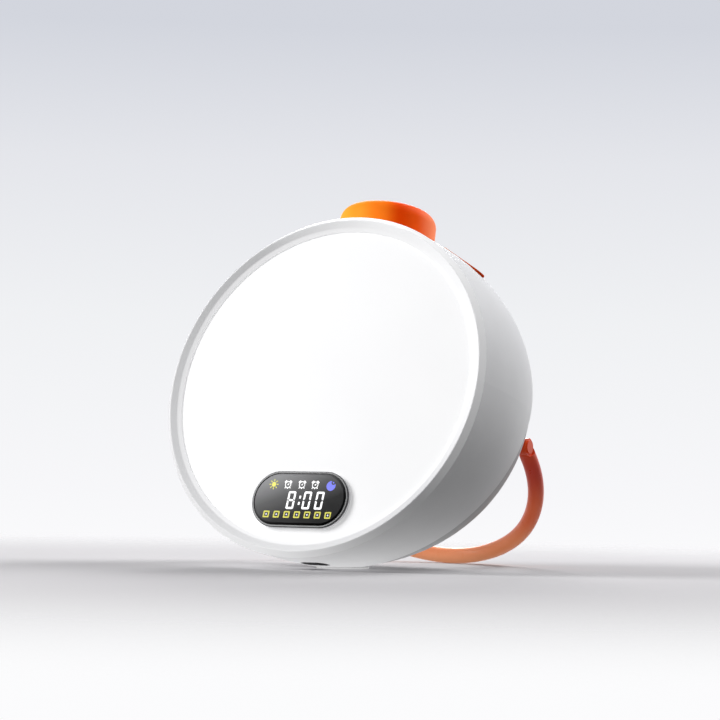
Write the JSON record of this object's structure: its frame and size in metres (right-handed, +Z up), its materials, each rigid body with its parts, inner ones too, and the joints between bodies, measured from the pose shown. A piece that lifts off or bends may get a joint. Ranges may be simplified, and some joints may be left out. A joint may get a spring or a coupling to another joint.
{
  "type": "sunrise alarm clock",
  "caption": "Bedside sunrise alarm clock: round glowing face in a deep bowl, small display, top snooze button, side button and a swinging tube loop stand behind.",
  "frame": {"origin": "On the table, at the middle of the box round the clock as it stands leaned back on its foot pad and loop stand.", "axes": "+Z is up from the table. -Y is the way the lamp face looks, and +Y is where the loop stand is. +X is to the right of someone who looks at the face, on the side of the mode button. The clock leans back 16.8 degrees about X."},
  "size_m": [0.1544, 0.1537, 0.163],
  "materials": {
    "white_shell": "satin white moulded plastic",
    "ring_white": "satin white moulded plastic",
    "opal": "opal light-spreading acrylic, even white",
    "cover_grey": "light grey moulded plastic",
    "display_trim": "black gloss trim with a pale lip",
    "display_glass": "smoked glass over lit symbols",
    "display_black": "black segment module",
    "board_green": "green circuit board",
    "chip_black": "black component bodies",
    "lamp_yellow": "pale yellow light sources",
    "tray_white": "reflective white plastic",
    "cell_metal": "nickel-plated cell",
    "snooze_orange": "orange moulded plastic",
    "mode_orange": "deep orange moulded plastic",
    "switch_black": "black switch bodies",
    "guide_white": "unpainted white plastic",
    "spring_steel": "bright spring wire",
    "port_metal": "grey metal",
    "loop_orange": "gloss red-orange painted tube",
    "bush_white": "pale plastic bearing",
    "pin_steel": "steel",
    "screw_steel": "zinc-plated steel",
    "foot_white": "white silicone",
    "speaker_black": "black speaker frame",
    "gasket_foam": "dark foam"
  },
  "bodies": {
    "housing": {"face_ring": "ring_white", "diffuser_panel": "opal", "display_frame": "display_trim", "display_glass": "display_glass", "display_module": "display_black", "display_board": "board_green", "light_tray": "tray_white", "led_board": "board_green", "leds": "lamp_yellow", "main_board": "board_green", "board_parts": "chip_black", "cell_holder": "chip_black", "backup_cell": "cell_metal", "front_shell": "white_shell", "rear_cover": "cover_grey", "foot_pad": "foot_white", "snooze_guide": "guide_white", "snooze_spring": "spring_steel", "snooze_switch": "switch_black", "snooze_board": "board_green", "mode_springs": "spring_steel", "mode_switch": "switch_black", "mode_board": "board_green", "port_cup": "port_metal", "usb_socket": "port_metal", "usb_board": "board_green", "speaker": "speaker_black", "speaker_gasket": "gasket_foam", "hinge_washers": "bush_white", "hinge_pins": "pin_steel", "rear_screws": "screw_steel", "tray_screws": "screw_steel", "board_screws": "screw_steel", "guide_screws": "screw_steel", "speaker_screws": "screw_steel"},
    "snooze": {"snooze_button": "snooze_orange"},
    "mode": {"mode_button": "mode_orange"},
    "stand": {"stand_loop": "loop_orange", "hinge_bushes": "bush_white"}
  },
  "joints": [
    {"name": "stand_hinge", "type": "hinge", "parent": "housing", "child": "stand", "pos_m": [0, 0.02145, 0.05425], "axis": [1, 0, 0], "range_deg": [-25, 75]},
    {"name": "snooze_press", "type": "slide", "parent": "housing", "child": "snooze", "axis": [0, -0.2096, -0.9778], "range_m": [0, 0.002], "stiffness_N_per_m": 700, "springref_m": -0.003, "deforming": ["snooze_spring"]},
    {"name": "mode_press", "type": "slide", "parent": "housing", "child": "mode", "axis": [-0.5358, -0.244, -0.8083], "range_m": [0, 0.0012], "stiffness_N_per_m": 500, "springref_m": -0.002, "deforming": ["mode_springs"]}
  ]
}
